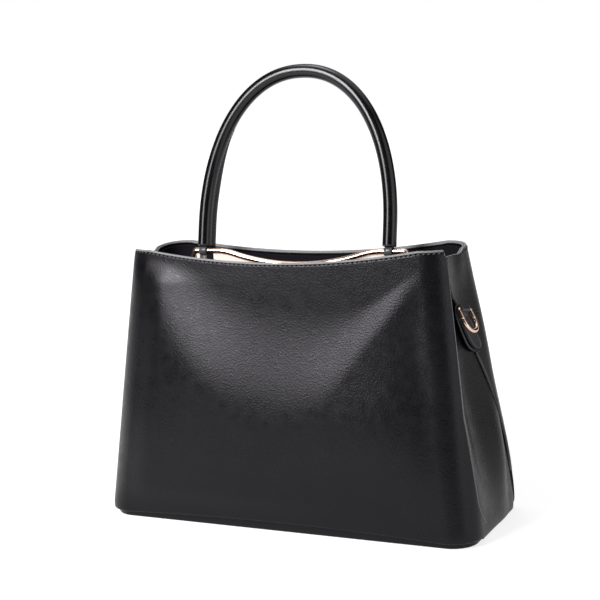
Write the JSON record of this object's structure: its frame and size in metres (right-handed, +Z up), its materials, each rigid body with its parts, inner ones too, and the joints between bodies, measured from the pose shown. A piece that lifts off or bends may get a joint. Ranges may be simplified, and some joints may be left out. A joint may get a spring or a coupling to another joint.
{
  "type": "top handle bag",
  "caption": "Structured leather bag that widens to its base, with wrapped corners, pinched sides, a rolled handle that swings on a metal bracket, and a ring on each side.",
  "frame": {"origin": "centre of the base, on the floor", "axes": "+Z up, +X across the bag to the viewer's right, +Y from the front panel to the back panel"},
  "size_m": [0.3322, 0.124, 0.3736],
  "materials": {
    "leather": "fine pebble grain, satin",
    "handle_leather": "smooth, semi-gloss",
    "lining": "matt woven cloth",
    "rose_gold": "polished rose gold plating",
    "board": "pressed board",
    "rope": "twisted rope"
  },
  "bodies": {
    "bag": {"front_panel": "leather", "back_panel": "leather", "gusset_left": "leather", "gusset_right": "leather", "base_panel": "leather", "base_board": "board", "facing_front": "leather", "facing_back": "leather", "lining_front": "lining", "lining_back": "lining", "lining_base": "lining", "divider_front": "lining", "divider_back": "lining", "handle_bracket": "rose_gold", "bracket_rivets": "rose_gold", "tab_patch_left": "leather", "tab_patch_right": "leather", "tab_strap_left": "leather", "tab_strap_right": "leather"},
    "handle": {"handle_cover": "handle_leather", "handle_core": "rope", "handle_loops": "handle_leather"},
    "ring_left": {"d_ring_left": "rose_gold"},
    "ring_right": {"d_ring_right": "rose_gold"}
  },
  "joints": [
    {"name": "handle_swing", "type": "hinge", "parent": "bag", "child": "handle", "pos_m": [0, 0, 0.2215], "axis": [1, 0, 0], "range_deg": [-64, 89]},
    {"name": "ring_swing_left", "type": "hinge", "parent": "bag", "child": "ring_left", "pos_m": [-0.14525, -0.00641, 0.17777], "axis": [-0.1691, 0.9757, -0.139], "range_deg": [-20, 125]},
    {"name": "ring_swing_right", "type": "hinge", "parent": "bag", "child": "ring_right", "pos_m": [0.14525, -0.00641, 0.17777], "axis": [-0.1691, -0.9757, 0.139], "range_deg": [-20, 125]}
  ]
}
